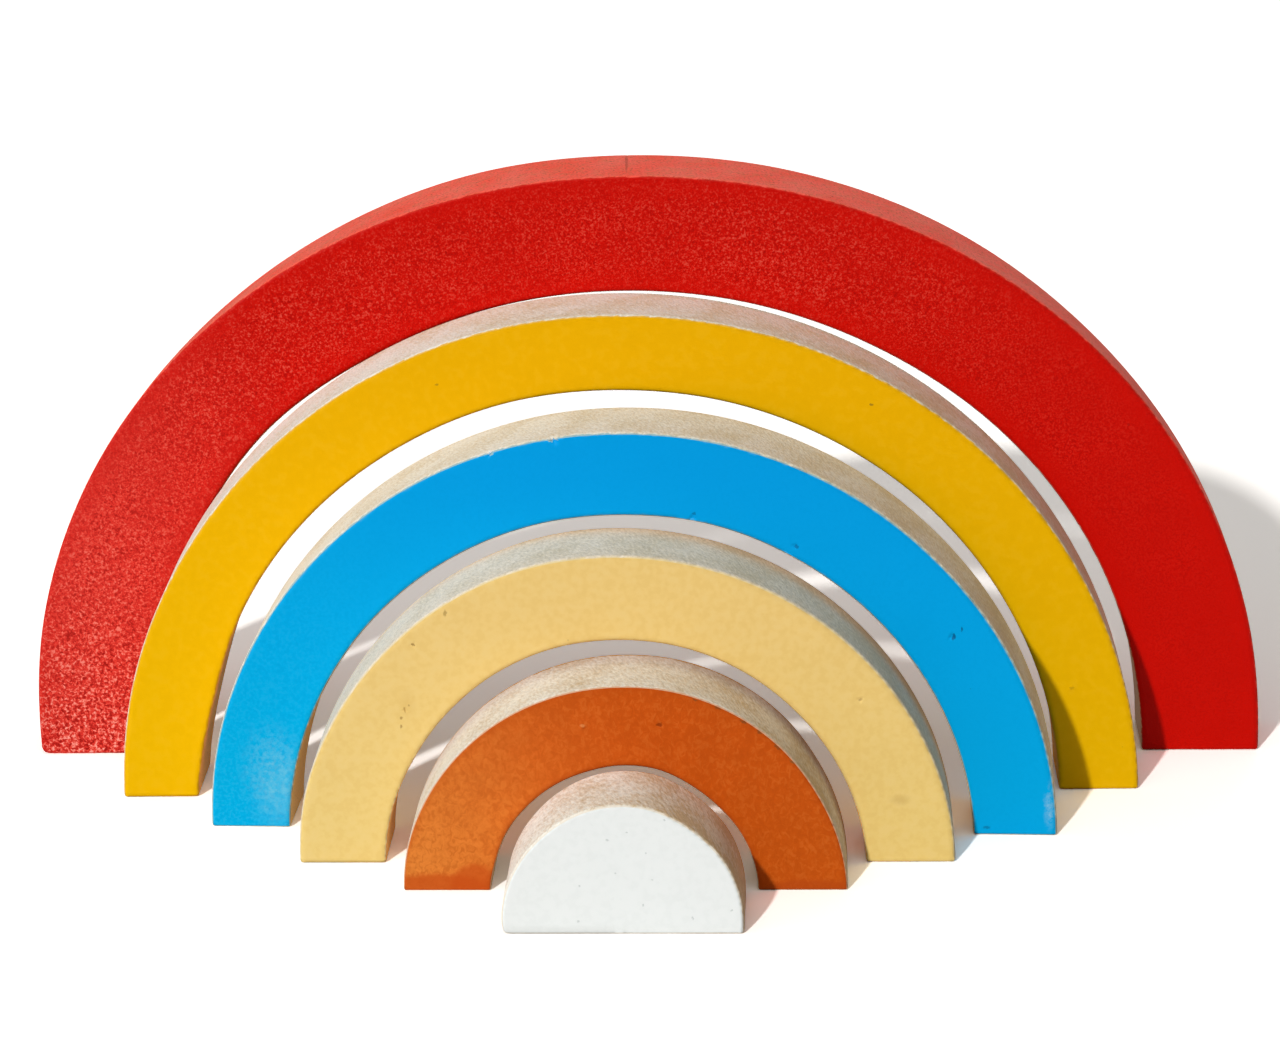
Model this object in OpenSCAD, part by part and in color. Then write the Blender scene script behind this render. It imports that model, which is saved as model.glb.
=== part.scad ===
// Rainbow stacker: five arches and a solid half-round dome, all sawn from one board.
// Every piece stands on its flat feet and slides into the next larger arch.
// Millimetres, +Z up, +X to the right, front faces towards -Y.
// The origin is on the floor, under the middle of the set as it stands here.

/* [Board] */
// Thickness of the board that all the pieces are sawn from
board_t = 18; // [10:0.5:30]
// Radius of the sanded edges along both faces of a piece
edge_r = 0.8; // [0.2:0.1:2]
// Bevel along the bottom edges of the feet
foot_bevel = 0.8; // [0.2:0.1:2]

/* [White dome] */
// Radius of the half round
dome_r = 24.5; // [15:0.5:40]
// Height of the straight sides under the half round
dome_leg = 2.4; // [0.5:0.1:10]

/* [Orange arch] */
// Width of the band
orange_band = 17.6; // [10:0.2:40]
// Gap to the nested dome at each side
orange_side_gap = 3.5; // [0.5:0.1:8]
// Gap to the nested dome at the crown
orange_crown_gap = 0.6; // [0.5:0.1:8]

/* [Cream arch] */
// Width of the band
cream_band = 18.5; // [10:0.5:40]
// Gap to the nested orange arch at each side
cream_side_gap = 4.6; // [0.5:0.1:8]
// Gap to the nested orange arch at the crown
cream_crown_gap = 4.1; // [0.5:0.1:8]

/* [Blue arch] */
// Width of the band
blue_band = 18; // [10:0.5:40]
// Gap to the nested cream arch at each side
blue_side_gap = 4.1; // [0.5:0.1:8]
// Gap to the nested cream arch at the crown
blue_crown_gap = 3.5; // [0.5:0.1:8]

/* [Yellow arch] */
// Width of the band
yellow_band = 16.6; // [10:0.2:40]
// Gap to the nested blue arch at each side
yellow_side_gap = 3.4; // [0.5:0.1:8]
// Gap to the nested blue arch at the crown
yellow_crown_gap = 2.3; // [0.5:0.1:8]

/* [Red arch] */
// Width of the band
red_band = 25.2; // [10:0.2:40]
// Gap to the nested yellow arch at each side
red_side_gap = 1; // [0.5:0.1:8]
// Gap to the nested yellow arch at the crown
red_crown_gap = 0.6; // [0.5:0.1:8]

/* [How the set stands] */
// Distance that the yellow arch stands forward of the red one
yellow_step = 23; // [2:0.5:60]
// Distance that the blue arch stands forward of the yellow one
blue_step = 20; // [2:0.5:60]
// Distance that the cream arch stands forward of the blue one
cream_step = 16; // [2:0.5:60]
// Distance that the orange arch stands forward of the cream one
orange_step = 13.5; // [2:0.5:60]
// Distance that the dome stands forward of the orange arch
dome_step = 20.5; // [2:0.5:60]
// Distance that the yellow arch stands to the right of the middle, left when negative
yellow_aside = -2; // [-5:0.1:5]
// Distance that the cream arch stands to the right of the middle, left when negative
cream_aside = -0.8; // [-5:0.1:5]
// Angle that the yellow arch is turned by, left side forward when positive
yellow_turn = 0.8; // [-1.5:0.1:1.5]
// Angle that the blue arch is turned by, left side forward when positive
blue_turn = -1.8; // [-3:0.1:3]

/* [Hidden] */
$fn = 144;
// Overlap that lets a cut run clear of the surface it starts from
over = 1;

// Crown heights, radii and lifts, from the dome outwards. A lift is the height of the
// centre of the round: above the floor the feet have straight legs, below it they are cut short.
dome_top = dome_leg + dome_r;

orange_in = dome_r + orange_side_gap;
orange_lift = dome_top + orange_crown_gap - orange_in;
orange_out = orange_in + orange_band;
orange_top = orange_lift + orange_out;

cream_in = orange_out + cream_side_gap;
cream_lift = orange_top + cream_crown_gap - cream_in;
cream_out = cream_in + cream_band;
cream_top = cream_lift + cream_out;

blue_in = cream_out + blue_side_gap;
blue_lift = cream_top + blue_crown_gap - blue_in;
blue_out = blue_in + blue_band;
blue_top = blue_lift + blue_out;

yellow_in = blue_out + yellow_side_gap;
yellow_lift = blue_top + yellow_crown_gap - yellow_in;
yellow_out = yellow_in + yellow_band;
yellow_top = yellow_lift + yellow_out;

red_in = yellow_out + red_side_gap;
red_lift = yellow_top + red_crown_gap - red_in;

// Middle of the board of each piece along Y, with the whole set centred on the origin
set_depth = board_t + yellow_step + blue_step + cream_step + orange_step + dome_step;
red_y = (set_depth - board_t) / 2;
yellow_y = red_y - yellow_step;
blue_y = yellow_y - blue_step;
cream_y = blue_y - cream_step;
orange_y = cream_y - orange_step;
dome_y = orange_y - dome_step;

// Half width at the floor of a round of radius r, lifted by lift
function reach(r, lift) = sqrt(r * r - pow(min(lift, 0), 2));

// Cross-section of a piece: w wide, as thick as the board, with sanded corners
module section(w) {
    square([w - 2 * edge_r, board_t], center = true);
    square([w, board_t - 2 * edge_r], center = true);
    for (side = [-1, 1], face = [-1, 1])
        translate([side * (w / 2 - edge_r), face * (board_t / 2 - edge_r)])
            circle(edge_r);
}

// Right half of the section of a solid half round of radius r
module half_section(r) {
    intersection() {
        section(2 * r);
        translate([0, -board_t / 2 - over])
            square([r + over, board_t + 2 * over]);
    }
}

// Turns a section about the Y axis into an upright half round, lifted by lift
module half_round(lift) {
    translate([0, 0, lift])
        rotate([90, 0, 0])
            rotate_extrude(angle = 180)
                children();
}

// What a bevel takes off a bottom edge: the edge runs along Y through the origin, and
// the foot lies towards -X of it
module bevel_waste(length) {
    rotate([90, 0, 0])
        linear_extrude(length, center = true)
            polygon([[-foot_bevel - over, -over], [over, foot_bevel + over], [over, -over]]);
}

// Bevels along the front and back bottom edges of a piece with the half width r
module face_bevels(r) {
    for (face = [-1, 1])
        translate([0, face * board_t / 2, 0])
            rotate([0, 0, face * 90])
                bevel_waste(2 * (r + over));
}

// Everything under the floor that a round of radius r can reach
module floor_waste(r, lift) {
    deep = max(-lift, 0) + over;
    translate([0, 0, -deep / 2])
        cube([2 * (r + over), board_t + 2 * over, deep], center = true);
}

// An arch with the inner radius r_in, its centre lifted by lift
module arch(r_in, band, lift) {
    r_out = r_in + band;
    difference() {
        union() {
            half_round(lift)
                translate([r_in + band / 2, 0])
                    section(band);
            if (lift > 0)
                for (side = [-1, 1])
                    translate([side * (r_in + band / 2), 0, 0])
                        linear_extrude(lift)
                            section(band);
        }
        floor_waste(r_out, lift);
        face_bevels(r_out);
        for (side = [0, 1])
            mirror([side, 0, 0]) {
                translate([reach(r_out, lift), 0, 0])
                    bevel_waste(board_t + 2 * over);
                translate([reach(r_in, lift), 0, 0])
                    rotate([0, 0, 180])
                        bevel_waste(board_t + 2 * over);
            }
    }
}

// A solid half round on short straight sides
module dome(r, leg) {
    difference() {
        union() {
            half_round(leg)
                half_section(r);
            linear_extrude(leg)
                section(2 * r);
        }
        face_bevels(r);
        for (side = [0, 1])
            mirror([side, 0, 0])
                translate([r, 0, 0])
                    bevel_waste(board_t + 2 * over);
    }
}

// Stands a piece at its place in the set
module stand(y, aside = 0, turn = 0) {
    translate([aside, y, 0])
        rotate([0, 0, turn])
            children();
}

module red_arch() {
    color("#cf1a14")
        stand(red_y)
            arch(red_in, red_band, red_lift);
}

module yellow_arch() {
    color("#efb300")
        stand(yellow_y, yellow_aside, yellow_turn)
            arch(yellow_in, yellow_band, yellow_lift);
}

module blue_arch() {
    color("#0a9fe3")
        stand(blue_y, turn = blue_turn)
            arch(blue_in, blue_band, blue_lift);
}

module cream_arch() {
    color("#efcb7a")
        stand(cream_y, cream_aside)
            arch(cream_in, cream_band, cream_lift);
}

module orange_arch() {
    color("#d2591a")
        stand(orange_y)
            arch(orange_in, orange_band, orange_lift);
}

module white_dome() {
    color("#eef2f0")
        stand(dome_y)
            dome(dome_r, dome_leg);
}

red_arch();
yellow_arch();
blue_arch();
cream_arch();
orange_arch();
white_dome();
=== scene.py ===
import logging
import math
from collections.abc import Callable
from dataclasses import dataclass
from enum import Enum

import bpy
import numpy as np
from mathutils import Matrix, Vector


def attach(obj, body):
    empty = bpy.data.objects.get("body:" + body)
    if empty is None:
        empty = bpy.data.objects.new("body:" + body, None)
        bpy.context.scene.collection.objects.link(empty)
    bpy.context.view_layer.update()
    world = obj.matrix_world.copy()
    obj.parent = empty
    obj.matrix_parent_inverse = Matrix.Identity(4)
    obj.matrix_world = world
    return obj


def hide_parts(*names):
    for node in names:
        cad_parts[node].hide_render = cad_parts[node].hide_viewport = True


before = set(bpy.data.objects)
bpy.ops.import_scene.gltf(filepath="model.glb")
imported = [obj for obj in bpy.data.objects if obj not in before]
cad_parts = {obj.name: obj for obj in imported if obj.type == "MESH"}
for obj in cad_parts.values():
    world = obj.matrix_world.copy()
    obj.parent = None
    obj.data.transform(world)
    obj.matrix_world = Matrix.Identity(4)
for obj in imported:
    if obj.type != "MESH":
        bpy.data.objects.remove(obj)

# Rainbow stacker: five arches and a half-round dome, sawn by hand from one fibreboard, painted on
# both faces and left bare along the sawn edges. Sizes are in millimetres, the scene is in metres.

Tree = bpy.types.NodeTree
Node = bpy.types.Node
Socket = bpy.types.NodeSocket
Obj = bpy.types.Object
Array = np.ndarray
Triple = tuple[float, float, float]
Colour = tuple[float, float, float, float]
# The noises of a finish by their names, and its layers: each one's share and its sRGB tint
Noises = dict[str, Node]
Layers = list[tuple[Node, str]]

LOG = logging.getLogger("rainbow_stacker")

# A millimetre in metres, and a metre in millimetres
MM = 0.001
METRE = 1000

# The board, the sanded arris, its rows of faces, and the angle from which an edge is an arris
BOARD = 18.0
ARRIS = 0.7
ARRIS_ROWS = 3
SHARP = math.radians(50)
# Distances in metres at which points merge and below which a face has no area
WELD = 1e-6
NO_AREA = 1e-7
# A length that keeps two others apart
HAIR = 0.01
# How far a normal points up or down on a level face, and to the front or back on a painted one
LEVEL = 0.9
PAINTED = 0.8
# Height below which a level face is a foot, and height up to which a foot stays on the floor
FOOT = 3.0
GRIP = 5.0
# A nick's finer faces, and the depth and number of the waves in its outline
NICK_CUTS = 5
NICK_WAVE = 0.22
NICK_WAVES = 3

# Where most values of a noise lie, and a size that takes an axis out of a distance
NOISE_LOW, NOISE_HIGH = 0.3, 0.7
ENDLESS = 1e6
# Grows from the left foot over the left shoulder to the right
ACROSS = (1.0, 0.0, 0.5)
# How much coarser the grain is where the coat is thick, and the slant and stretch of brush strokes
COARSER = 1.7
BRUSH_SLANT = math.radians(35)
BRUSH_STRETCH = 0.8
# Sizes on the paint: patches of gloss, ragged wear, the way from speck to speck, and chalk
GLOSS_MM = 9.0
WEAR_MM = 2.4
SPECKS_MM = 9.0
CHALK_MM = 1.6
# How much shinier and how much duller patches of gloss are
SHINIER, DULLER = 0.05, 0.07
# Largest radius of a speck, as a part of the way to the next
SPECK_PART = 0.05
# How much specks, the painted bounce light on the inner edge, laps of paint and the painted shade
# in cracks hide
SPECK_SHARE, INNER_BOUNCE_SHARE, LAP_SHARE, CRACK_SHARE = 0.55, 0.85, 0.9, 0.45
# Size of the waves in a mark's outline, and how far they reach
WAVE_MM = 0.9
WAVE_REACH = 1.2
# Height from which a coat's hue changes upward
HUE_FROM = 10.0
# Painted highlights on thick red paint, and blotches and pores in the red wash
PAINTED_GLINT = "#ffc8bc"
BLOTCH = "#d8704c"
PORE = "#8c2a1c"
# Slant of the saw marks, and how far paint laps over the front arris
SAW_SLANT = math.radians(24)
LAP_MM = 0.45
# How far blobs push the outline of a lap or a crack, as a part of its size
RAGGED = 1.6
# Sizes along the edge, across the board and outward. Saw marks and fibres run across the board,
# near 0.1 mm wide: drawn 0.6 mm, or they would not show.
EDGE_SIZES = {"fibre": (0.6, 1.5, 1.3), "patch": (12.0, 9.0, 13.0), "fuzz": (0.5, 0.8, 0.6),
              "blob": (1.7, 1.7, 1.7)}


def linear(code: str) -> Colour:
    """Turns an sRGB hex colour into linear light.

    Args:
        code: The colour as # and six hex digits.

    Returns:
        Red, green and blue in linear light, with full alpha.
    """
    parts = [int(code[i:i + 2], 16) / 255 for i in (1, 3, 5)]
    red, green, blue = (v / 12.92 if v <= 0.04045 else ((v + 0.055) / 1.055) ** 2.4 for v in parts)
    return red, green, blue, 1.0


def add_node(tree: Tree, kind: str, inputs: dict | tuple = (), **settings: object) -> Node:
    """Adds one node with its settings and links.

    Args:
        tree: The node tree of a material or of the world.
        kind: The node's type, without the ShaderNode that every type starts with.
        inputs: A value, a node or a node's output for each input, in the order of the inputs or
            by their names or numbers. A node stands for its first output. In order, a MapRange
            takes a value, the two ends that it comes from and the two that it goes to.
        settings: The node's own options.

    Returns:
        The new node.
    """
    made = tree.nodes.new("ShaderNode" + kind)
    for option, value in settings.items():
        setattr(made, option, value)
    for key, value in inputs.items() if isinstance(inputs, dict) else enumerate(inputs):
        if isinstance(value, Node):
            value = value.outputs[0]
        if isinstance(value, Socket):
            tree.links.new(value, made.inputs[key])
        else:
            made.inputs[key].default_value = value
    return made


def lay(tree: Tree, colour: Socket, layers: Layers) -> Socket:
    """Lays thin layers over a ground, one after the other.

    Args:
        tree: The material's nodes.
        colour: The colour of the ground.
        layers: The layers from the ground up.

    Returns:
        The colour on top.
    """
    for share, tint in layers:
        colour = add_node(tree, "Mix", {0: share, 6: colour, 7: linear(tint)},
                          data_type="RGBA").outputs[2]
    return colour


def bare_tree(owner: bpy.types.Material | bpy.types.World) -> Tree:
    """Turns on the nodes of a material or of the world and clears them.

    Args:
        owner: The material or the world.

    Returns:
        Its empty node tree.
    """
    owner.use_nodes = True
    owner.node_tree.nodes.clear()
    return owner.node_tree


def vectors(items: bpy.types.bpy_prop_collection, name: str) -> Array:
    """Reads one vector of every point or face.

    Args:
        items: The points or the faces.
        name: The vector's name.

    Returns:
        A row for each item.
    """
    flat = np.empty(len(items) * 3)
    items.foreach_get(name, flat)
    return flat.reshape(-1, 3)


def drift_at(angle: Array, stations: tuple[float, ...]) -> Array:
    """Reads how far a sawn edge wanders from a true round, as a smooth curve through stations.

    Args:
        angle: Degrees round the arch from the right foot.
        stations: Millimetres outward, evenly spaced from the right foot to the left one.

    Returns:
        The wander at each angle, in millimetres.
    """
    last = len(stations) - 1
    place = np.clip(angle / 180 * last, 0, last - 1e-6)
    k = place.astype(int)
    f = place - k
    near = np.pad(np.array(stations), 1, mode="edge")
    a, b, c, d = (near[k + i] for i in range(4))
    return b + 0.5 * f * (c - a + f * (2 * a - 5 * b + 4 * c - d + f * (3 * (b - c) + d - a)))


class Grain(Enum):
    """How a coat of paint lies on the board."""

    EGGSHELL = "sprayed thick, pebbled like eggshell"
    SMOOTH = "rolled thin and even"
    BRUSHED = "brushed on, crinkled and cloudy"


@dataclass(frozen=True)
class Mark:
    """A speck, stain, rubbed place or chip on a painted front face, at x and z in the set's frame;
    the dark nicks on the orange arch carry painted shade.
    """

    x: float
    z: float
    wide: float
    tall: float
    colour: str
    soft: float = 0.5
    amount: float = 0.8
    turn: float = 0.0
    dusty: bool = False


@dataclass(frozen=True)
class Paint:
    """Water-based toy paint on the sanded face of fibreboard.

    The eye sees a strong, slightly uneven colour with a low satin gloss, a fine surface texture
    that depends on how the coat was put on, dust specks under the coat and wear along the arris.
    The high points of the texture carry painted highlights and its pits painted shade.

    The texture is calm within calm_mm of the arris. The hue turns by the degrees in low at the
    foot and not at all at the height in low. The colour changes from left to right over fade,
    lighter on the left: partly the coat's own tone, partly painted light where the light falls. The
    coat is as thick as the stations in strong say, from the right foot to the left one, and the
    stations also set how strong the painted highlights are.
    """

    name: str
    left: str
    right: str
    grain: Grain
    grain_mm: float
    depth_mm: float
    roughness: float
    specular: float
    mottle_mm: float
    mottle: float
    fleck_and_highlight: str
    flecks_and_highlights: float
    rim: str
    rim_mm: float
    rim_amount: float
    speck: str
    pit_and_shade: str
    pits_and_shade: float
    painted_glint: float = 0.0
    calm_mm: float = 0.0
    low: tuple[float, float] = (0.0, 100.0)
    fade: tuple[float, float] = (-110.0, 30.0)
    strong: tuple[float, ...] = (1.0, 1.0)
    marks: tuple[Mark, ...] = ()

    def material(self) -> bpy.types.Material:
        """Builds the material.

        Returns:
            The paint, ready for a piece's first material slot.
        """
        mat = bpy.data.materials.new(self.name)
        tree = bare_tree(mat)
        place = add_node(tree, "TexCoord").outputs["Object"]
        band = add_node(tree, "Attribute", attribute_name="band").outputs["Vector"]
        rim = add_node(tree, "Attribute", attribute_name="rim").outputs["Fac"]
        cloud = add_node(tree, "TexNoise", {"Vector": place, "Scale": METRE / self.mottle_mm,
                                            "Detail": 4.0, "Roughness": 0.6})
        thick = self._thickness(tree, place)
        height = self._coat(tree, place, thick)
        layers = (self._flecks_highlights_and_shade(tree, height, (thick, cloud), rim) + self._wear(tree, place, rim)
                  + self._marks(tree, place, band))
        colour = lay(tree, self._ground(tree, place, cloud), layers)
        relief = add_node(tree, "Math", (thick, 0.5, 0.5), operation="MULTIPLY_ADD")
        bump = add_node(tree, "Bump", {"Strength": relief, "Distance": self.depth_mm * MM,
                                       "Height": height})
        patchy = add_node(tree, "TexNoise",
                          {"Vector": place, "Scale": METRE / GLOSS_MM, "Detail": 3.0})
        rough = add_node(tree, "MapRange", (patchy, NOISE_LOW, NOISE_HIGH,
                                            self.roughness - SHINIER, self.roughness + DULLER))
        shader = add_node(tree, "BsdfPrincipled",
                          {"Base Color": colour, "Roughness": rough, "IOR": 1.5,
                           "Specular IOR Level": self.specular, "Normal": bump})
        add_node(tree, "OutputMaterial", {"Surface": shader})
        return mat

    def _thickness(self, tree: Tree, place: Socket) -> Node:
        """Reads how thick the coat lies from its stations.

        Args:
            tree: The material's nodes.
            place: Object coordinates.

        Returns:
            The thickness, from 0 to 1.
        """
        own = add_node(tree, "SeparateXYZ", (place,)).outputs
        angle = add_node(tree, "Math", (own["Z"], own["X"]), operation="ARCTAN2")
        part = add_node(tree, "Math", (angle, math.pi), operation="DIVIDE")
        ramp = add_node(tree, "ValToRGB", (part,))
        stops = ramp.color_ramp.elements
        stops.remove(stops[1])
        for k, share in enumerate(self.strong):
            stop = stops.new(k / (len(self.strong) - 1)) if k else stops[0]
            stop.color = (share, share, share, 1.0)
        return ramp

    def _coat(self, tree: Tree, place: Socket, thick: Node) -> Node:
        """Makes the relief of the coat.

        Args:
            tree: The material's nodes.
            place: Object coordinates.
            thick: How thick the coat lies, from 0 to 1.

        Returns:
            The height of the coat.
        """
        scale = METRE / self.grain_mm
        if self.grain is Grain.BRUSHED:
            drawn = add_node(tree, "Mapping", {"Vector": place, "Rotation": (0.0, BRUSH_SLANT, 0.0),
                                               "Scale": (scale, scale, scale * BRUSH_STRETCH)})
            return add_node(tree, "TexNoise", {"Vector": drawn, "Scale": 1.0, "Detail": 4.0,
                                               "Roughness": 0.6, "Distortion": 0.9})
        if self.grain is Grain.SMOOTH:
            return add_node(tree, "TexNoise", {"Vector": place, "Scale": scale, "Detail": 2.0})
        fine = add_node(tree, "TexNoise",
                        {"Vector": place, "Scale": scale, "Detail": 1.0, "Distortion": 0.3})
        coarse = add_node(tree, "TexNoise", {"Vector": place, "Scale": scale / COARSER,
                                             "Detail": 2.0, "Roughness": 0.6, "Distortion": 0.6})
        return add_node(tree, "Mix", {0: thick, 2: fine, 3: coarse}, data_type="FLOAT")

    def _ground(self, tree: Tree, place: Socket, cloud: Node) -> Socket:
        """Makes the colour of the coat: a slow change across and down the piece, and faint clouds.

        Args:
            tree: The material's nodes.
            place: Object coordinates.
            cloud: Slow noise.

        Returns:
            The colour.
        """
        # Lighter on the left: partly the coat's own tone, partly painted light where the light
        # falls
        across = add_node(tree, "VectorMath", (place, ACROSS), operation="DOT_PRODUCT")
        side = add_node(tree, "MapRange", (across.outputs["Value"], self.fade[0] * MM,
                                           self.fade[1] * MM), interpolation_type="SMOOTHSTEP")
        base = add_node(tree, "Mix", {0: side, 6: linear(self.left), 7: linear(self.right)},
                        data_type="RGBA")
        value = add_node(tree, "MapRange", (cloud, 0.25, 0.75, 1 - self.mottle, 1 + self.mottle))
        up = add_node(tree, "SeparateXYZ", (place,)).outputs["Z"]
        # A hue of 0.5 leaves the colour as it is.
        hue = add_node(tree, "MapRange", (up, HUE_FROM * MM, self.low[1] * MM,
                                          0.5 + self.low[0] / 360, 0.5))
        return add_node(tree, "HueSaturation",
                        {"Hue": hue, "Value": value, "Color": base.outputs[2]}).outputs["Color"]

    def _flecks_highlights_and_shade(self, tree: Tree, height: Node, shares: tuple[Node, Node], rim: Socket) -> Layers:
        """Paints highlights on the high points of the coat and shade in the pits, less so near the
        arris.

        Args:
            tree: The material's nodes.
            height: The height of the coat.
            shares: How thick the coat lies, which also sets how strong the painted highlights and
            shade are, and slow noise.
            rim: The distance in from the arris.

        Returns:
            The layers.
        """
        thick, cloud = shares
        hazy = add_node(tree, "MapRange", (cloud, 0.32, 0.68, 0.45, 1.5))
        open_face = add_node(tree, "MapRange", (rim, self.calm_mm * 0.25 * MM,
                                                (self.calm_mm + HAIR) * MM, 0.1),
                             interpolation_type="SMOOTHSTEP")
        even = add_node(tree, "Math", (hazy, open_face), operation="MULTIPLY")
        # On the thick side the texture runs right to the arris.
        reach = add_node(tree, "Mix", {0: thick, 2: even, 3: 1.0}, data_type="FLOAT")
        layers = []
        # Each row has the heights where a tint starts and is full, its most, the tint, and how
        # fast it goes where the coat thins: painted highlights on the high points, painted shade in
        # the pits, and painted glints on the highest points. High points and pits have equal
        # shares.
        for start, full, most, tint, fall in ((0.5, 0.63, self.flecks_and_highlights, self.fleck_and_highlight, 2.4),
                                              (0.5, 0.37, self.pits_and_shade, self.pit_and_shade, 0.9),
                                              (0.54, 0.66, self.painted_glint, PAINTED_GLINT, 5.0)):
            if not most:
                continue
            bold = add_node(tree, "Math", (thick, fall), operation="POWER")
            share = add_node(tree, "Math", (reach, bold), operation="MULTIPLY")
            point = add_node(tree, "MapRange", (height, start, full, 0.0, most))
            held = add_node(tree, "Math", (point, share), operation="MULTIPLY", use_clamp=True)
            layers.append((held, tint))
        return layers

    def _wear(self, tree: Tree, place: Socket, rim: Socket) -> Layers:
        """Rubs an uneven strip along the arris and scatters specks of a third of a millimetre.

        Args:
            tree: The material's nodes.
            place: Object coordinates.
            rim: The distance in from the arris.

        Returns:
            The layers.
        """
        ragged = add_node(tree, "TexNoise", {"Vector": place, "Scale": METRE / WEAR_MM,
                                             "Detail": 4.0, "Roughness": 0.65})
        reach = add_node(tree, "MapRange", (ragged, NOISE_LOW, NOISE_HIGH,
                                            0.15 * self.rim_mm * MM, 1.3 * self.rim_mm * MM))
        strip = add_node(tree, "MapRange", (rim, 0.0, reach, self.rim_amount, 0.0))
        cells = add_node(tree, "TexVoronoi", {"Vector": place, "Scale": METRE / SPECKS_MM}).outputs
        lone = add_node(tree, "SeparateColor", (cells["Color"],)).outputs["Red"]
        size = add_node(tree, "MapRange", (lone, 0.45, 1.0, 0.0, SPECK_PART))
        dot = add_node(tree, "Math", (cells["Distance"], size), operation="LESS_THAN")
        speck = add_node(tree, "Math", (dot, SPECK_SHARE), operation="MULTIPLY")
        return [(strip, self.rim), (speck, self.speck)]

    def _marks(self, tree: Tree, place: Socket, band: Socket) -> Layers:
        """Lays the placed marks on the front face.

        Args:
            tree: The material's nodes.
            place: Object coordinates.
            band: The piece's own coordinates: along, across the board, and outward.

        Returns:
            The layers.
        """
        layers = []
        if not self.marks:
            return layers
        depth = add_node(tree, "SeparateXYZ", (band,)).outputs["Y"]
        front = add_node(tree, "Math", (depth, 0.0), operation="LESS_THAN")
        shaken = add_node(tree, "TexNoise", {"Vector": place, "Scale": METRE / WAVE_MM,
                                             "Detail": 3.0, "Roughness": 0.6})
        offset = add_node(tree, "VectorMath", (shaken.outputs["Color"], (0.5, 0.5, 0.5)),
                          operation="SUBTRACT")
        ragged = add_node(tree, "VectorMath", (offset, (WAVE_REACH * MM,) * 3, place),
                          operation="MULTIPLY_ADD")
        dust_and_bounce = add_node(tree, "TexNoise", {"Vector": place, "Scale": METRE / CHALK_MM,
                                           "Detail": 5.0, "Roughness": 0.7})
        chalk = add_node(tree, "MapRange", (dust_and_bounce, 0.42, 0.68))
        for mark in self.marks:
            spot = add_node(tree, "Mapping",
                            {"Vector": ragged, "Location": (mark.x * MM, 0.0, mark.z * MM),
                             "Rotation": (0.0, math.radians(mark.turn), 0.0),
                             "Scale": (mark.wide / 2 * MM, ENDLESS, mark.tall / 2 * MM)},
                            vector_type="TEXTURE")
            far = add_node(tree, "VectorMath", (spot,), operation="LENGTH").outputs["Value"]
            share = add_node(tree, "MapRange", (far, 1 - mark.soft, 1.0, mark.amount, 0.0),
                             interpolation_type="SMOOTHSTEP")
            held = add_node(tree, "Math", (share, front), operation="MULTIPLY")
            if mark.dusty:
                held = add_node(tree, "Math", (held, chalk), operation="MULTIPLY")
            layers.append((held, mark.colour))
        return layers


@dataclass(frozen=True)
class Scar:
    """A crack in a sawn edge: its place along the edge and across the board, and its size."""

    along: float
    across: float
    long: float
    wide: float
    turn: float
    colour: str


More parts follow.
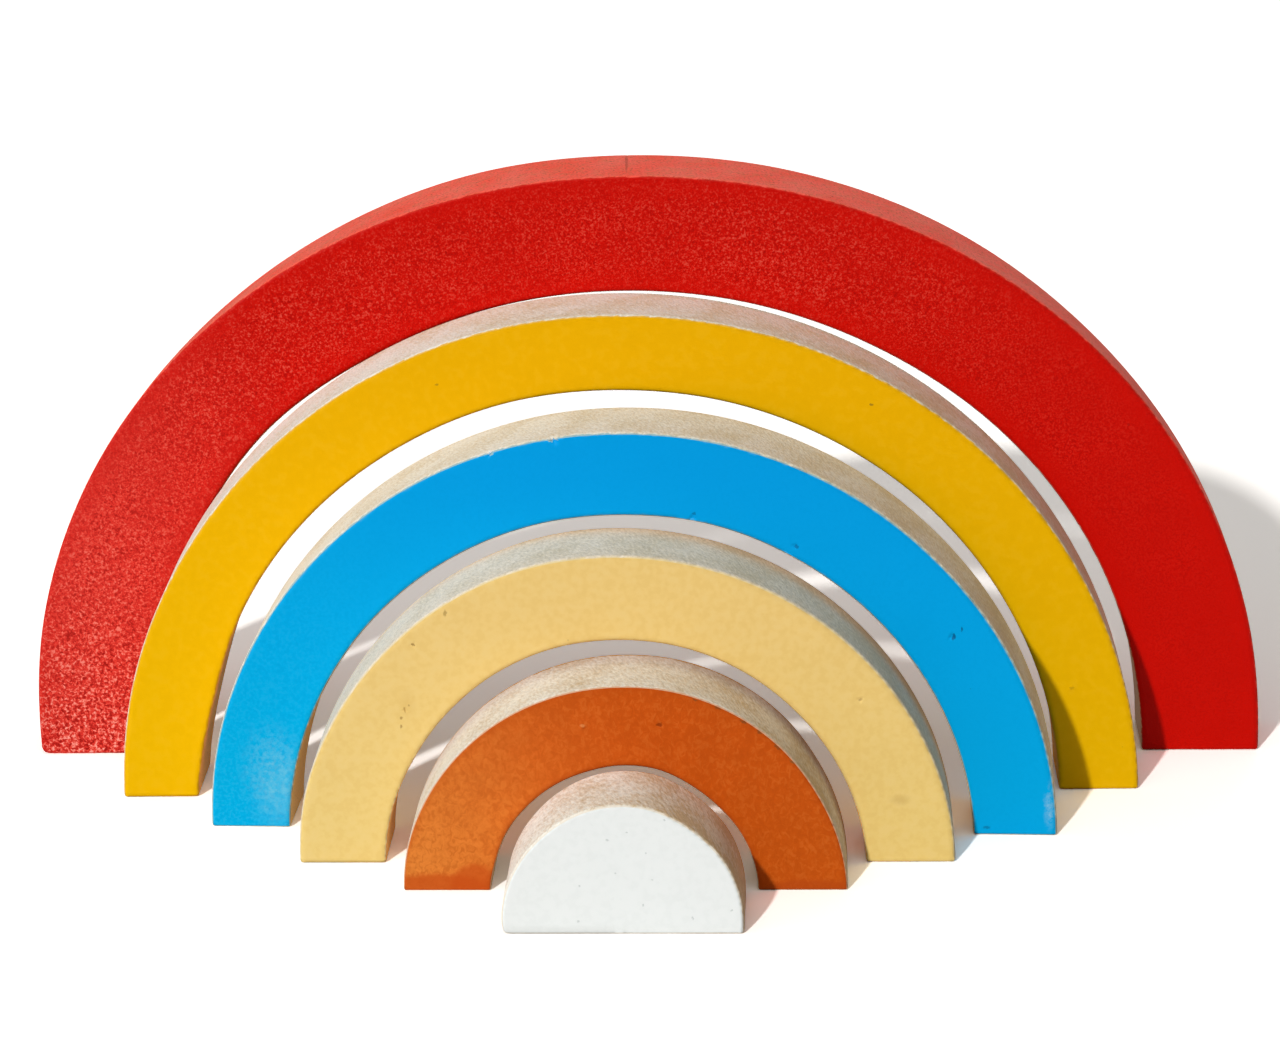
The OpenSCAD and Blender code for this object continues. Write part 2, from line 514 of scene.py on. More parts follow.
@dataclass(frozen=True)
class SawnEdge:
    """Medium-density fibreboard, cut with a band saw, lightly sanded and left bare.

    The eye sees a matt, felt-like beige with short fibres, paler and browner patches, fine fuzz,
    and paint that laps over the arris in an uneven line. The outer edge can carry a thin wash.
    """

    name: str
    pale: str
    tan: str
    brown_and_shade_right: float
    inner: str
    lap: str
    back: str
    back_mm: float
    half_mm: float
    wash: str = "#ffffff"
    washed: float = 0.0
    scars: tuple[Scar, ...] = ()

    def material(self) -> bpy.types.Material:
        """Builds the material.

        Returns:
            The bare edge, ready for a piece's second material slot.
        """
        mat = bpy.data.materials.new(self.name)
        tree = bare_tree(mat)
        place = add_node(tree, "TexCoord").outputs["Object"]
        band = add_node(tree, "Attribute", attribute_name="band").outputs["Vector"]
        own = add_node(tree, "SeparateXYZ", (band,)).outputs
        noises = self._noises(tree, band)
        colour = lay(tree, self._board(tree, place, noises), self._sides(tree, own["Z"], noises))
        shade = add_node(tree, "MapRange", (noises["fuzz"], NOISE_LOW, NOISE_HIGH, 0.86, 1.1))
        colour = add_node(tree, "HueSaturation", {"Value": shade, "Color": colour}).outputs["Color"]
        colour = lay(tree, colour,
                     self._laps(tree, own["Y"], noises) + self._scars(tree, band, noises))
        relief = add_node(tree, "Math", (noises["fibre"], 0.7, noises["fuzz"]),
                          operation="MULTIPLY_ADD")
        bump = add_node(tree, "Bump", {"Strength": 0.9, "Distance": 0.16 * MM, "Height": relief})
        shader = add_node(tree, "BsdfPrincipled",
                          {"Base Color": colour, "Roughness": 0.88, "IOR": 1.45,
                           "Specular IOR Level": 0.15, "Normal": bump})
        add_node(tree, "OutputMaterial", {"Surface": shader})
        return mat

    def _noises(self, tree: Tree, band: Socket) -> Noises:
        """Makes the noises that follow the edge.

        Args:
            tree: The material's nodes.
            band: The piece's own coordinates: along, across the board, and outward.

        Returns:
            Each noise, from 0 to 1, by its name.
        """
        slant = add_node(tree, "Mapping", {"Vector": band, "Rotation": (0.0, 0.0, SAW_SLANT)})
        made = {}
        for name, size in EDGE_SIZES.items():
            spread = add_node(tree, "Mapping", {"Vector": slant,
                                                "Scale": tuple(METRE / mm for mm in size)})
            made[name] = add_node(tree, "TexNoise", {"Vector": spread, "Scale": 1.0, "Detail": 3.0,
                                                     "Roughness": 0.6})
        return made

    def _board(self, tree: Tree, place: Socket, noises: Noises) -> Socket:
        """Makes the colour of the bare board, browner toward the right: partly the board itself,
        partly painted shade on the side away from the light.

        Args:
            tree: The material's nodes.
            place: Object coordinates.
            noises: The noises that follow the edge.

        Returns:
            The colour.
        """
        across = add_node(tree, "SeparateXYZ", (place,)).outputs["X"]
        # Browner toward the right: partly the board, partly painted shade away from the light
        right = add_node(tree, "MapRange", (across, -self.half_mm * MM, self.half_mm * MM, -0.3,
                                            self.brown_and_shade_right))
        mixed = add_node(tree, "Math", (noises["patch"], 0.9, noises["fibre"]),
                         operation="MULTIPLY_ADD")
        tan = add_node(tree, "MapRange", (mixed, 0.785, 1.325))
        share = add_node(tree, "Math", (tan, right), operation="ADD", use_clamp=True)
        return add_node(tree, "Mix", {0: share, 6: linear(self.pale), 7: linear(self.tan)},
                        data_type="RGBA").outputs[2]

    def _sides(self, tree: Tree, out: Socket, noises: Noises) -> Layers:
        """Tints the inner edge with painted warm bounce light from the painted faces, and washes
        the outer edge.

        Args:
            tree: The material's nodes.
            out: The distance out from the middle of the band.
            noises: The noises that follow the edge.

        Returns:
            The layers.
        """
        # Painted warm bounce light from the painted faces, on the inner edge only
        within = add_node(tree, "Math", (out, 0.0), operation="LESS_THAN")
        dust_and_bounce = add_node(tree, "Math", (within, INNER_BOUNCE_SHARE), operation="MULTIPLY")
        layers = [(dust_and_bounce, self.inner)]
        if not self.washed:
            return layers
        outer = add_node(tree, "Math", (out, 0.0), operation="GREATER_THAN")
        # A thin patchy wash with blotches and dark pores
        for name, start, end, low, high, tint in (
                ("patch", 0.38, 0.66, self.washed, self.washed - 0.12, self.wash),
                ("blob", 0.48, 0.66, 0.0, 0.45, BLOTCH), ("fuzz", 0.41, 0.33, 0.0, 0.5, PORE)):
            amount = add_node(tree, "MapRange", (noises[name], start, end, low, high))
            share = add_node(tree, "Math", (outer, amount), operation="MULTIPLY")
            layers.append((share, tint))
        return layers

    def _laps(self, tree: Tree, across: Socket, noises: Noises) -> Layers:
        """Laps the paint of the two faces over the arrises in a ragged line.

        Args:
            tree: The material's nodes.
            across: The distance back from the middle of the board.
            noises: The noises that follow the edge.

        Returns:
            The layers.
        """
        layers = []
        for face, paint, reach in ((-1, self.lap, LAP_MM), (1, self.back, self.back_mm)):
            inset = add_node(tree, "Math", (across, face * METRE, -BOARD / 2),
                             operation="MULTIPLY_ADD")
            line = add_node(tree, "Math", (noises["blob"], reach * RAGGED, inset),
                            operation="MULTIPLY_ADD")
            share = add_node(tree, "MapRange", (line, -0.1 * reach, 0.25 * reach, 0.0, LAP_SHARE))
            layers.append((share, paint))
        return layers

    def _scars(self, tree: Tree, band: Socket, noises: Noises) -> Layers:
        """Darkens the cracks with painted shade inside each fissure.

        Args:
            tree: The material's nodes.
            band: The piece's own coordinates.
            noises: The noises that follow the edge.

        Returns:
            The layers.
        """
        layers = []
        for scar in self.scars:
            spot = add_node(tree, "Mapping",
                            {"Vector": band, "Location": (scar.along * MM, scar.across * MM, 0.0),
                             "Rotation": (0.0, 0.0, math.radians(scar.turn)),
                             "Scale": (scar.wide / 2 * MM, scar.long / 2 * MM, ENDLESS)},
                            vector_type="TEXTURE")
            far = add_node(tree, "VectorMath", (spot,), operation="LENGTH").outputs["Value"]
            torn = add_node(tree, "Math", (noises["blob"], RAGGED, far), operation="MULTIPLY_ADD")
            share = add_node(tree, "MapRange", (torn, 1.2, 1.7, CRACK_SHARE, 0.0))
            layers.append((share, scar.colour))
        return layers


@dataclass(frozen=True)
class Nick:
    """A chip, or a bump where the depth is negative: its angle, radius, place across and size."""

    angle: float
    radius: float
    across: float
    size: float
    depth: float


@dataclass
class Arch:
    """One arch of the set, with its sizes in millimetres as the solids have them.

    The drifts tell how far the saw wandered outward along each sawn edge, and the flare how far
    the back rim of the outer edge stands out past the front one. All three are stations, evenly
    spaced from the right foot to the left one. The lean is the way back for each way up.
    """

    name: str
    body: str
    slot: str
    paint: Paint
    edge: SawnEdge
    inner: float
    band: float
    lift: float
    y: float
    drift_out: tuple[float, ...]
    drift_in: tuple[float, ...] = (0.0, 0.0)
    flare: tuple[float, ...] = (0.0, 0.0)
    lean: float = 0.0
    aside: float = 0.0
    turn: float = 0.0
    soft_corner: float = 0.0
    nicks: tuple[Nick, ...] = ()
    cell: float = 1.3

    @property
    def outer(self) -> float:
        """Outer radius in millimetres."""
        return self.inner + self.band

    @property
    def middle(self) -> float:
        """Radius of the middle of the band in millimetres."""
        return self.inner + self.band / 2

    @property
    def start(self) -> float:
        """Angle in radians at which the middle of the band leaves the floor."""
        return math.asin(-self.lift / self.middle)

    def build(self) -> Obj:
        """Models the piece, dresses it and stands it in its place.

        Returns:
            The finished object.
        """
        piece = self._section()
        self._sweep()
        self._ease(piece)
        self._measure(piece)
        self._wander(piece)
        self._chip(piece)
        self._dress(piece)
        self._stand(piece)
        return piece

    def _section(self) -> Obj:
        """Adds the cross-section of the band as a grid that stands at the right foot.

        Returns:
            The new object, selected and active.
        """
        bpy.ops.object.select_all(action="DESELECT")
        bpy.ops.mesh.primitive_grid_add(
            x_subdivisions=round(self.band / self.cell), y_subdivisions=round(BOARD / self.cell),
            size=1, rotation=(0, -self.start, 0),
            location=(self.middle * math.cos(self.start) * MM, 0,
                      (self.lift + self.middle * math.sin(self.start)) * MM))
        piece = bpy.context.object
        piece.name = self.name
        piece.data.name = self.name
        piece.scale = (self.band * MM, BOARD * MM, 1)
        bpy.ops.object.transform_apply(location=True, rotation=True, scale=True)
        return piece

    def _sweep(self) -> None:
        """Spins the section from foot to foot, closes its seams and makes the feet."""
        bpy.ops.object.mode_set(mode="EDIT")
        bpy.ops.mesh.select_all(action="SELECT")
        bpy.ops.mesh.spin(steps=round(math.pi * self.outer / self.cell),
                          angle=math.pi - 2 * self.start, center=(0, 0, self.lift * MM),
                          axis=(0, 1, 0))
        bpy.ops.mesh.select_all(action="SELECT")
        bpy.ops.mesh.remove_doubles(threshold=WELD)
        self._feet()
        bpy.ops.object.mode_set(mode="OBJECT")

    def _feet(self) -> None:
        """Cuts the feet level with the floor."""
        bpy.ops.mesh.normals_make_consistent(inside=False)
        self._select(lambda centre, normal: (normal[:, 2] < -LEVEL) & (centre[:, 2] < FOOT * MM))
        bpy.ops.transform.resize(value=(1, 1, 0), center_override=(0, 0, 0))

    def _select(self, test: Callable[[Array, Array], Array]) -> None:
        """Selects faces by their place and normal, in edit mode.

        Args:
            test: Takes the faces' centres and normals and tells which to select.
        """
        bpy.ops.mesh.select_all(action="DESELECT")
        bpy.ops.object.mode_set(mode="OBJECT")
        faces = bpy.context.object.data.polygons
        faces.foreach_set("select", test(vectors(faces, "center"), vectors(faces, "normal")))
        bpy.ops.object.mode_set(mode="EDIT")
        bpy.ops.mesh.select_mode(type="FACE")

    def _ease(self, piece: Obj) -> None:
        """Sands the arrises with a narrow bevel.

        Args:
            piece: The arch.
        """
        bevel = piece.modifiers.new("arris", "BEVEL")
        bevel.width = ARRIS * MM
        bevel.segments = ARRIS_ROWS
        bevel.limit_method = "ANGLE"
        bevel.angle_limit = SHARP
        bevel.harden_normals = True
        bpy.ops.object.modifier_apply(modifier=bevel.name)
        bpy.ops.object.shade_smooth_by_angle(angle=SHARP)

    def _own(self, piece: Obj) -> tuple[Array, Array, Array]:
        """Reads the mesh in the piece's own round coordinates.

        Args:
            piece: The arch before it is stood in its place.

        Returns:
            Points in millimetres, their angles in degrees from the right foot, and their radii.
        """
        points = vectors(piece.data.vertices, "co") / MM
        angle = np.degrees(np.arctan2(points[:, 2] - self.lift, points[:, 0]))
        angle[angle < -90] += 360
        return points, angle, np.hypot(points[:, 0], points[:, 2] - self.lift)

    def _move(self, piece: Obj, points: Array) -> None:
        """Moves the mesh to new points in millimetres."""
        piece.data.vertices.foreach_set("co", points.ravel() * MM)
        piece.data.update()

    def _measure(self, piece: Obj) -> None:
        """Stores each point's place along, across and out from the band, for the finishes.

        Args:
            piece: The arch.
        """
        points, angle, radius = self._own(piece)
        along = np.radians(angle) * radius
        own = np.column_stack((along, points[:, 1], radius - self.middle)) * MM
        rim = np.maximum(self._inset(radius), BOARD / 2 - np.abs(points[:, 1])) * MM
        for name, kind, key, values in (("band", "FLOAT_VECTOR", "vector", own.ravel()),
                                        ("rim", "FLOAT", "value", rim)):
            piece.data.attributes.new(name, kind, "POINT").data.foreach_set(key, values)

    def _inset(self, radius: Array) -> Array:
        """Gives the distance in from the nearer sawn edge, in millimetres."""
        return self.band / 2 - np.abs(radius - self.middle)

    def _wander(self, piece: Obj) -> None:
        """Moves the sawn edges to where the saw wandered, and leans the piece on its sawn feet.

        Args:
            piece: The arch.
        """
        points, angle, radius = self._own(piece)
        part = np.clip((radius - self.inner) / self.band, 0, 1)
        to_back = points[:, 1] / BOARD + 0.5
        outer = drift_at(angle, self.drift_out) + to_back * drift_at(angle, self.flare)
        out = part * outer + (1 - part) * drift_at(angle, self.drift_in)
        points[:, 0] += out * np.cos(np.radians(angle))
        points[:, 2] += out * np.sin(np.radians(angle)) * np.clip(points[:, 2] / GRIP, 0, 1)
        self._soften(points)
        points[:, 1] += self.lean * points[:, 2]
        self._move(piece, points)

    def _soften(self, points: Array) -> None:
        """Rounds the outer corner of the left foot, where it is worn.

        Args:
            points: The mesh in millimetres, changed in place.
        """
        if not self.soft_corner:
            return
        r = self.soft_corner
        inward = points[:, 0] - points[:, 0][points[:, 2] < 2 * r].min()
        u, v = r - inward, r - points[:, 2]
        far = np.hypot(u, v)
        pull = np.where((u > 0) & (v > 0) & (far > r), 1 - r / np.maximum(far, r), 0)
        points[:, 0] += pull * u
        points[:, 2] += pull * v

    def _chip(self, piece: Obj) -> None:
        """Cuts the nicks: finer faces round each one, then its hollow.

        Args:
            piece: The arch.
        """
        for nick in self.nicks:
            turn = math.radians(nick.angle)
            spot = np.array((nick.radius * math.cos(turn), nick.across,
                             self.lift + nick.radius * math.sin(turn)))
            bpy.ops.object.mode_set(mode="EDIT")
            reach = nick.size + self.cell
            self._select(lambda centre, normal: np.linalg.norm(centre / MM - spot, axis=1) < reach)
            bpy.ops.mesh.subdivide(number_cuts=NICK_CUTS)
            bpy.ops.object.mode_set(mode="OBJECT")
            points = self._own(piece)[0]
            apart = points - spot
            way = np.arctan2(apart[:, 2], apart[:, 0])
            wave = 1 + NICK_WAVE * np.sin(NICK_WAVES * way + nick.angle)
            near = np.clip(np.linalg.norm(apart, axis=1) / (nick.size * wave), 0, 1)
            deep = nick.depth * (1 - near ** 2) ** 2
            self._move(piece, points - vectors(piece.data.vertex_normals, "vector") * deep[:, None])

    def _dress(self, piece: Obj) -> None:
        """Paints the two faces and leaves the sawn edges and feet bare.

        Args:
            piece: The arch.
        """
        piece.data.materials.append(self.paint.material())
        piece.data.materials.append(self.edge.material())
        bare = np.abs(vectors(piece.data.polygons, "normal")[:, 1]) < PAINTED
        piece.data.polygons.foreach_set("material_index", bare.astype(np.int32))
        piece.data.update()

    def _stand(self, piece: Obj) -> None:
        """Turns the piece, moves it to its place in the set and ties it to its body.

        Args:
            piece: The arch.
        """
        bpy.ops.object.select_all(action="DESELECT")
        piece.select_set(True)
        bpy.context.view_layer.objects.active = piece
        piece.rotation_euler = (0, 0, math.radians(self.turn))
        piece.location = (self.aside * MM, self.y * MM, 0)
        bpy.ops.object.transform_apply(location=True, rotation=True, scale=True)
        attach(piece, self.body)
        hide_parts(self.body)


@dataclass
class Dome(Arch):
    """The solid half round in the middle, on short straight sides."""

    @property
    def start(self) -> float:
        """The half round starts level with its centre."""
        return 0.0

    def _feet(self) -> None:
        """Merges the section at the centre of the round and extrudes the straight sides down."""
        bpy.ops.mesh.dissolve_degenerate(threshold=NO_AREA)
        bpy.ops.mesh.select_all(action="SELECT")
        bpy.ops.mesh.normals_make_consistent(inside=False)
        level = (self.lift + HAIR) * MM
        self._select(lambda centre, normal: (np.abs(normal[:, 2]) > LEVEL)
                     & (centre[:, 2] < level))
        down = {"value": (0, 0, -self.lift * MM)}
        bpy.ops.mesh.extrude_region_move(TRANSFORM_OT_translate=down)
        bpy.ops.mesh.select_all(action="SELECT")
        bpy.ops.mesh.normals_make_consistent(inside=False)

    def _inset(self, radius: Array) -> Array:
        """Gives the distance in from the sawn edge, in millimetres."""
        return self.outer - radius


@dataclass(frozen=True)
class Lamp:
    """A far lamp: the way its light goes, its strength, and its width in degrees."""

    name: str
    way: Triple
    strength: float
    wide: float


@dataclass
class Studio:
    """The pale floor, soft light and camera, in metres and degrees."""

    eye: Triple = (0.04112, -0.70955, 0.31745)
    heading: float = 3.133
    tilt: float = 71.147
    roll: float = -1.419
    lens: float = 101.62
    sensor: float = 36
    shift: tuple[float, float] = (0.003, -0.0216)
    nearest: float = 0.01
    lamps: tuple[Lamp, ...] = (Lamp("key", (0.45, 1.0, -0.66), 2.3, 2.5),
                               Lamp("soft_front", (0.1, 0.5, -1.2), 0.4, 60),
                               Lamp("soft_back", (-0.25, -1.0, -0.14), 0.7, 20))
    side: Triple = (-0.85, -0.42, 0.45)
    side_aim: Triple = (0, 0, 0.05)
    side_power: float = 0.9
    side_size: float = 0.6
    sky: float = 0.2
    floor_size: float = 16
    floor_lit: Colour = (0.5, 0.49, 0.47, 1)
    floor_seen: Colour = (1.6, 1.55, 1.48, 1)

    def build(self) -> None:
        """Sets up the floor, the light and the camera."""
        self._floor()
        self._light()
        self._camera()
        bpy.context.scene.view_settings.view_transform = "Standard"

    def _split(self, tree: Tree, kind: str, lit: tuple, seen: tuple) -> Node:
        """Adds a shader that lights the object and another that is seen behind it.

        Args:
            tree: The node tree of the floor or of the world.
            kind: The type of both shaders.
            lit: The inputs of the one that lights the object.
            seen: The inputs of the one for camera, glossy and transmission rays.

        Returns:
            The two as one shader.
        """
        path = add_node(tree, "LightPath").outputs
        both = add_node(tree, "Math", (path["Is Camera Ray"], path["Is Glossy Ray"]),
                        operation="MAXIMUM")
        shown = add_node(tree, "Math", (both, path["Is Transmission Ray"]), operation="MAXIMUM")
        return add_node(tree, "MixShader",
                        (shown, add_node(tree, kind, lit), add_node(tree, kind, seen)))

    def _floor(self) -> None:
        """Lays a wide white floor that keeps the shadow."""
        bpy.ops.object.select_all(action="DESELECT")
        bpy.ops.mesh.primitive_plane_add(size=self.floor_size)
        floor = bpy.context.object
        floor.name = "floor"
        mat = bpy.data.materials.new("white_paper")
        tree = bare_tree(mat)
        both = self._split(tree, "BsdfDiffuse", (self.floor_lit,), (self.floor_seen,))
        add_node(tree, "OutputMaterial", {"Surface": both})
        floor.data.materials.append(mat)

    def _light(self) -> None:
        """Sets an even sky, three far lamps and a panel on the left."""
        world = bpy.data.worlds.new("sky")
        bpy.context.scene.world = world
        tree = bare_tree(world)
        white = (1, 1, 1, 1)
        both = self._split(tree, "Background", (white, self.sky), (white, 1.0))
        add_node(tree, "OutputWorld", {"Surface": both})
        for lamp in self.lamps:
            sun = bpy.data.lights.new(lamp.name, "SUN")
            sun.energy = lamp.strength
            sun.angle = math.radians(lamp.wide)
            self._hang(sun, Vector(lamp.way))
        panel = bpy.data.lights.new("side", "AREA")
        panel.energy = self.side_power
        panel.size = self.side_size
        hung = self._hang(panel, Vector(self.side_aim) - Vector(self.side))
        hung.location = self.side

    def _hang(self, light: bpy.types.Light, way: Vector) -> Obj:
        """Adds a lamp to the scene.

        Args:
            light: The lamp's settings.
            way: The way its light goes.

        Returns:
            The new object.
        """
        hung = bpy.data.objects.new(light.name, light)
        hung.rotation_euler = way.to_track_quat("-Z", "Y").to_euler()
        bpy.context.collection.objects.link(hung)
        return hung

    def _camera(self) -> None:
        """Puts the camera where the photograph was taken from."""
        data = bpy.data.cameras.new("camera")
        data.sensor_fit = "HORIZONTAL"
        data.sensor_width = self.sensor
        data.lens = self.lens
        data.shift_x, data.shift_y = self.shift
        data.clip_start = self.nearest
        camera = bpy.data.objects.new("camera", data)
        camera.matrix_world = (Matrix.Translation(self.eye)
                               @ Matrix.Rotation(math.radians(self.heading), 4, "Z")
                               @ Matrix.Rotation(math.radians(self.tilt), 4, "X")
                               @ Matrix.Rotation(math.radians(self.roll), 4, "Z"))
        bpy.context.collection.objects.link(camera)
        bpy.context.scene.camera = camera


RED = Paint(
    name="eggshell_red_paint", left="#e0362d", right="#cc0a00", grain=Grain.EGGSHELL,
    grain_mm=0.42, depth_mm=0.2, roughness=0.4, specular=0.07, mottle_mm=17, mottle=0.05,
    fleck_and_highlight="#ff6e52", flecks_and_highlights=1.0, rim="#c60803", rim_mm=5.0, rim_amount=0.35, speck="#9a120e",
    pit_and_shade="#8e0805", pits_and_shade=0.95, painted_glint=1.0, calm_mm=6.5, fade=(-115, -20),
    strong=(0.12, 0.17, 0.26, 0.36, 0.48, 0.54, 0.5, 0.5, 0.54, 0.56, 0.58, 0.74, 0.92))
YELLOW = Paint(
    name="satin_yellow_paint", left="#efb200", right="#ebae00", grain=Grain.SMOOTH, grain_mm=1.8,
    depth_mm=0.015, roughness=0.45, specular=0.04, mottle_mm=24, mottle=0.012, fleck_and_highlight="#f4c02a",
    flecks_and_highlights=0.12, rim="#c98f1a", rim_mm=0.8, rim_amount=0.5, speck="#c0901c", pit_and_shade="#d89c00",
    pits_and_shade=0.08, low=(2.7, 95),
    marks=(Mark(51.5, 87.7, 1.1, 0.8, "#8a6a1c", amount=0.7),
           Mark(-40.1, 93.2, 0.9, 0.7, "#8f6c18", amount=0.55),
           Mark(94.2, 23.6, 1.2, 1.2, "#b08410", amount=0.5)))
BLUE = Paint(
    name="satin_blue_paint", left="#00a8e5", right="#009de4", grain=Grain.SMOOTH, grain_mm=0.7,
    depth_mm=0.015, roughness=0.45, specular=0.04, mottle_mm=20, mottle=0.015, fleck_and_highlight="#3ab8e8",
    flecks_and_highlights=0.3, rim="#7fb6c8", rim_mm=0.7, rim_amount=0.5, speck="#1186bb", pit_and_shade="#008fd0",
    pits_and_shade=0.3, low=(-4.5, 80), strong=(0.25, 0.25, 0.25, 0.25, 0.25, 0.6, 1.0),
    # Paler, partly chalky patches low on the left leg and by the right foot
    marks=(Mark(-76.5, 12, 18, 30, "#86ccdf", soft=0.95, amount=0.6, dusty=True),
           Mark(-75.5, 9, 15, 26, "#7cc6dc", soft=0.98, amount=0.2),
           Mark(88.3, 7, 3.4, 14, "#bcd9dd", soft=0.8, amount=0.5, dusty=True),
           Mark(-14.1, 88.3, 2.4, 1.6, "#c8b893"), Mark(-27.8, 85.9, 1.6, 1.0, "#e9e4d6"),
           Mark(67.9, 44.9, 0.9, 1.9, "#0b4f7c", soft=0.6),
           Mark(69.6, 46.6, 0.7, 1.3, "#0b4f7c", soft=0.6),
           Mark(14.5, 71.8, 1.1, 0.8, "#0a5f92", amount=0.65),
           Mark(35.5, 64.7, 1.0, 0.8, "#0a5f92", amount=0.7),
           Mark(75.0, 1.8, 1.9, 1.1, "#0a6494", soft=0.6, amount=0.6)))
CREAM = Paint(
    name="matt_cream_paint", left="#efcc82", right="#eeca7c", grain=Grain.SMOOTH, grain_mm=1.6,
    depth_mm=0.015, roughness=0.55, specular=0.05, mottle_mm=18, mottle=0.018, fleck_and_highlight="#f2d591",
    flecks_and_highlights=0.2, rim="#d9b56c", rim_mm=0.8, rim_amount=0.5, speck="#cfae6c", pit_and_shade="#e2b965",
    pits_and_shade=0.2, low=(2.5, 55),
    marks=(Mark(-36.3, 55.9, 0.9, 2.2, "#9a7a3c", soft=0.6, amount=0.6),
           Mark(-43.2, 49.0, 0.9, 0.9, "#9c7a44"),
           *(Mark(*place, "#b08a4c") for place in (
               (-45.5, 34.6, 0.6, 1.2), (-46.4, 32.9, 0.6, 1.0), (-44.4, 35.6, 0.5, 0.8),
               (-46.6, 31.0, 0.5, 1.1))),
           Mark(48.3, 36.5, 1.1, 0.8, "#b49258", amount=0.6),
           Mark(-45.0, 36.0, 5.0, 9.0, "#dfb768", soft=0.95, amount=0.4),
           Mark(56.5, 14.2, 6.0, 3.6, "#cda862", soft=0.9, amount=0.4)))
ORANGE = Paint(
    name="brushed_orange_paint", left="#ee9340", right="#c7520f", grain=Grain.BRUSHED,
    grain_mm=1.2, depth_mm=0.09, roughness=0.55, specular=0.05, mottle_mm=7, mottle=0.06,
    fleck_and_highlight="#ee8c3c", flecks_and_highlights=0.4, rim="#b8480c", rim_mm=2.4, rim_amount=0.5, speck="#8a3a0c",
    pit_and_shade="#b0470c", pits_and_shade=0.36, low=(0.8, 35), fade=(-90, 26),
    strong=(0.65, 0.65, 0.65, 0.65, 0.68, 0.85, 1.0),
    marks=(Mark(-7.8, 36.7, 1.6, 1.0, "#e09050", soft=0.6, amount=0.6),
           Mark(7.8, 36.8, 1.7, 1.3, "#7a2c06", amount=0.75),
           # Darker along the bottom of both feet
           Mark(-39, 0, 30, 9.2, "#c55016", soft=0.35, amount=0.8),
           Mark(-31, 0.6, 12, 12.6, "#c55016", soft=0.3, amount=0.75),
           Mark(38, 0, 24, 6, "#b84a12", soft=0.4, amount=0.7),
           # Ragged nicks along the upper right arris: small chips, drawn dark with painted shade
           *(Mark(*place, "#7c4a22", amount=0.7, turn=turn) for *place, turn in (
               (31.5, 31.8, 2.2, 0.7, 45), (27.9, 35.1, 1.6, 0.6, 38), (24.6, 37.5, 2.4, 0.6, 33),
               (19.6, 40.4, 1.8, 0.6, 26), (15.0, 42.2, 1.4, 0.5, 20))),
           Mark(34.4, 28.6, 1.4, 0.6, "#8a5a2c", amount=0.8, turn=50)))
WHITE = Paint(
    name="satin_white_paint", left="#f2f5f2", right="#eff2f0", grain=Grain.SMOOTH, grain_mm=1.6,
    depth_mm=0.015, roughness=0.45, specular=0.12, mottle_mm=14, mottle=0.01, fleck_and_highlight="#f3f5f3",
    flecks_and_highlights=0.15, rim="#d8cbb4", rim_mm=0.6, rim_amount=0.35, speck="#c4c6c2", pit_and_shade="#dfe3e0",
    pits_and_shade=0.15,
    marks=tuple(Mark(x, z, size, size, "#b0b8b4", soft=0.6, amount=0.5) for x, z, size in (
        (1.8, 21.8, 0.6), (9.2, 24.4, 0.5), (-2.2, 20.3, 0.8), (5.3, 17.5, 0.6), (6.5, 11.8, 0.5),
        (-0.8, 13.1, 0.6), (-8.0, 10.5, 0.8), (4.6, 6.4, 0.8), (14.5, 3.5, 0.8), (22.3, 5.2, 0.7),
        (-8.5, 2.9, 0.8))))

# The inner tints are painted warm bounce light, and the browner right side is partly painted shade.
RED_EDGE = SawnEdge(
    "washed_red_fibreboard_edge", pale="#ecd6c6", tan="#d2ac94", brown_and_shade_right=0.2, inner="#e4c8b6",
    lap="#c80f07", back="#b5301f", back_mm=0.4, half_mm=120, wash="#fb5b46", washed=1.0,
    scars=(Scar(along=215.7, across=2.0, long=22.0, wide=0.8, turn=-2.5, colour="#7c3020"),))
YELLOW_EDGE = SawnEdge(
    "yellow_fibreboard_edge", pale="#eeeddf", tan="#d6c49c", brown_and_shade_right=0.55, inner="#ffa020",
    lap="#e8ae00", back="#b88f3c", back_mm=0.4, half_mm=100)
BLUE_EDGE = SawnEdge(
    "blue_fibreboard_edge", pale="#f2efe2", tan="#d6c6a2", brown_and_shade_right=0.52, inner="#ffc060",
    lap="#8fb9bd", back="#8d8a6c", back_mm=0.3, half_mm=80)
CREAM_EDGE = SawnEdge(
    "cream_fibreboard_edge", pale="#f4e6cf", tan="#d4c2a0", brown_and_shade_right=0.65, inner="#ffac3a",
    lap="#e9d39c", back="#cdb27a", back_mm=0.8, half_mm=60)
ORANGE_EDGE = SawnEdge(
    "orange_fibreboard_edge", pale="#eee8dc", tan="#ccb490", brown_and_shade_right=0.5, inner="#d2ac72",
    lap="#d8a47c", back="#c9983c", back_mm=1.2, half_mm=40)
WHITE_EDGE = SawnEdge(
    "white_fibreboard_edge", pale="#fbf8ec", tan="#d0b48c", brown_and_shade_right=0.74, inner="#f8f0e6",
    lap="#efe6d6", back="#e2dccb", back_mm=0.5, half_mm=22)

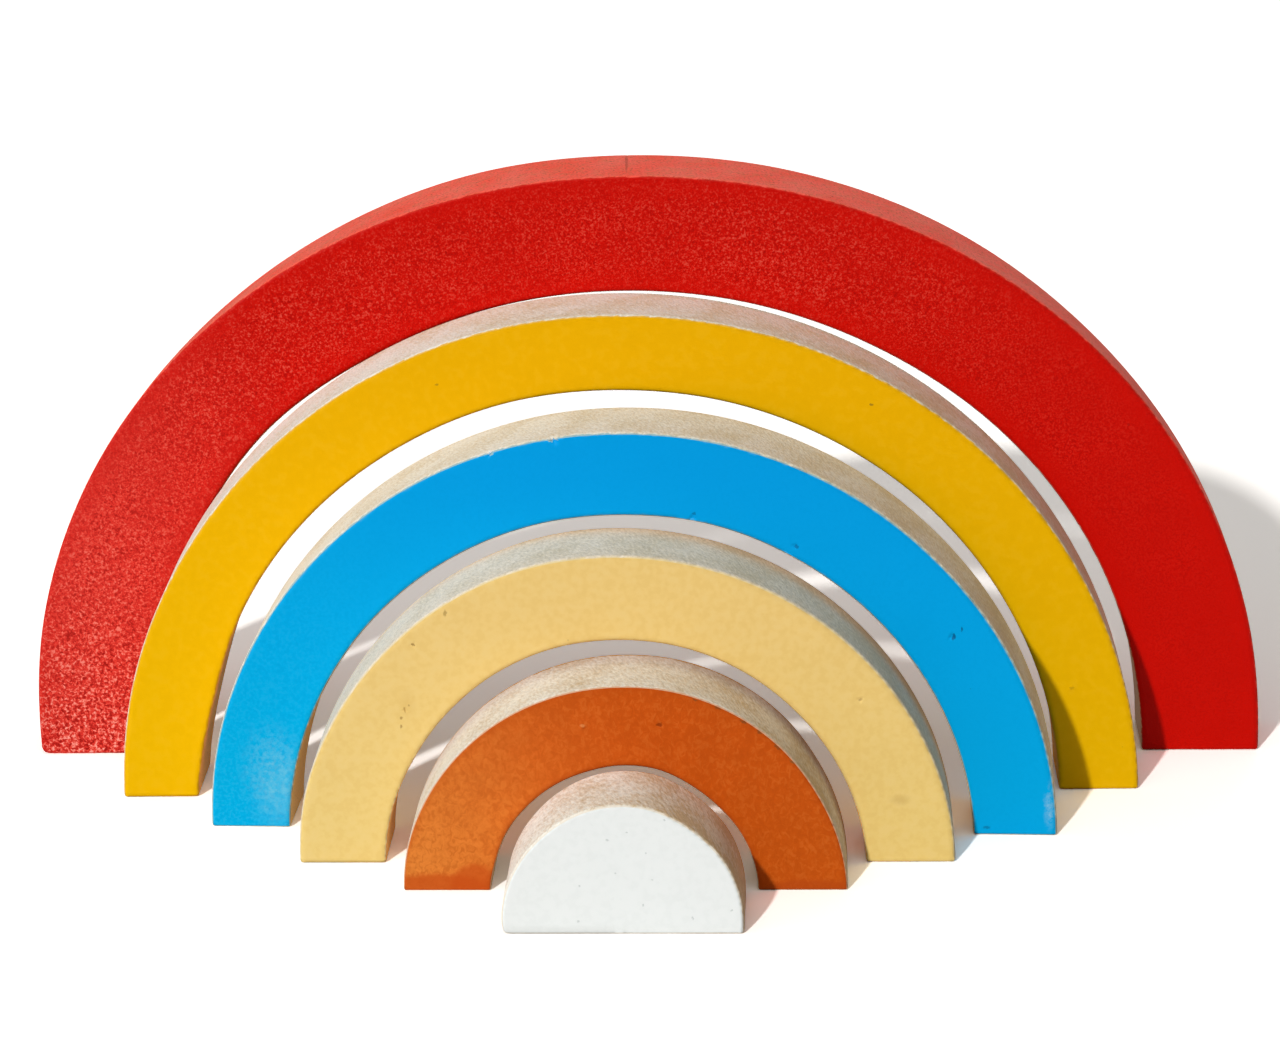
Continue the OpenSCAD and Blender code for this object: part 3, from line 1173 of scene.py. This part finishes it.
PIECES: tuple[Arch, ...] = (
    Arch("painted_red_arch", "red_arch", "red_paint", RED, RED_EDGE,
         inner=111.8, band=25.2, lift=-3.1, y=46.5,
         drift_out=(.25, 1.50, 2.25, 2.25, 1.40, .35, -.45, .05, 1.0, 1.69, 1.6, .64, -1.21),
         drift_in=(-.33, .04, .22, -.03, -.60, -.73, -.70, -.29, .1, 1.35, .3, -.33, -.3),
         flare=(0, 0, -.6, -.9, -.1, .3, .5, .5, -.5, -1.0, -.2, .4, .2),
         lean=-0.027, soft_corner=2.5, nicks=(Nick(90.2, 136.6, 6.5, 1.8, 0.6),)),
    Arch("painted_yellow_arch", "yellow_arch", "yellow_paint", YELLOW, YELLOW_EDGE,
         inner=94.2, band=16.6, lift=-2.7, y=23.5,
         drift_out=(.18, .14, -.02, -.04, -.20, -.36, -.35, .07, .20, .17, .23, .32, .03),
         drift_in=(-.48, -.48, -.48, -.37, -.37, -.23, -.19, .29, .28, .29, -.07, -1.05, .21),
         lean=0.025, aside=-2.0, turn=0.8,
         nicks=(Nick(59.4, 105.0, -9, 0.9, 0.25), Nick(111.7, 103.2, -9, 0.8, 0.2),
                Nick(15.3, 99.7, -9, 1.0, -0.3))),
    Arch("painted_blue_arch", "blue_arch", "blue_paint", BLUE, BLUE_EDGE,
         inner=72.8, band=18.0, lift=-1.6, y=3.5,
         drift_out=(-.56, -.40, -.35, -.29, .07, .18, .04, .07, 0, -.20, -.23, -.14, -.25),
         drift_in=(-.19, -.45, -.50, -.45, -.15, .23, -.03, .05, -.09, -.16, -.18, .14, .59),
         turn=-1.8,
         nicks=(Nick(98.9, 90.6, -8.8, 1.5, 0.6), Nick(107.6, 90.6, -8.8, 1.1, 0.45),
                Nick(34.4, 82.3, -9, 0.9, 0.3), Nick(78.7, 74.0, -9, 0.9, 0.25),
                Nick(61.9, 75.2, -9, 0.8, 0.2))),
    Arch("painted_cream_arch", "cream_arch", "cream_paint", CREAM, CREAM_EDGE,
         inner=50.2, band=18.5, lift=-1.0, y=-12.5,
         drift_out=(.18, .02, -.28, -.34, -.11, .06, .26, .48, .19, -.19, -.32, -.05, -.34),
         drift_in=(.07, -.18, -.33, -.29, .06, .35, .38, .43, .13, -.27, -.46, -.24, -.08),
         lean=0.006, aside=-0.8,
         nicks=(Nick(130.3, 65.5, -9, 0.9, 0.2), Nick(141.4, 57.1, -9, 0.7, 0.2),
                Nick(37.3, 61.8, -9, 0.8, 0.25))),
    Arch("painted_orange_arch", "orange_arch", "orange_paint", ORANGE, ORANGE_EDGE,
         inner=28.0, band=17.6, lift=-0.5, y=-26.0,
         drift_out=(.01, -.16, -.26, .07, .26, .33, .14, .06, -.04, -.10, -.06, .19, .23),
         drift_in=(-.80, -.80, -.82, -.85, -.46, .25, .29, -.13, -.33, -.51, -.49, -.65, -.24),
         lean=-0.006, cell=1.0,
         nicks=(Nick(101.8, 38.0, -9, 1.0, -0.25), Nick(78.2, 38.2, -9, 0.9, 0.2))),
    Dome("painted_white_dome", "white_dome", "white_paint", WHITE, WHITE_EDGE,
         inner=0.0, band=24.5, lift=2.4, y=-46.5,
         drift_out=(.29, .25, .30, .20, .30, .70, .64, .32, -.15, -.50, -.60, -.57, -.57),
         lean=0.045, soft_corner=2.0, cell=0.8),
)


def main() -> None:
    """Builds the studio and the six pieces, and logs the faces of each."""
    logging.basicConfig(level=logging.INFO, format="%(name)s: %(message)s")
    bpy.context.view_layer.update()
    Studio().build()
    for piece in PIECES:
        made = piece.build()
        LOG.info("%s has %d faces", made.name, len(made.data.polygons))


if __name__ == "__main__":
    main()
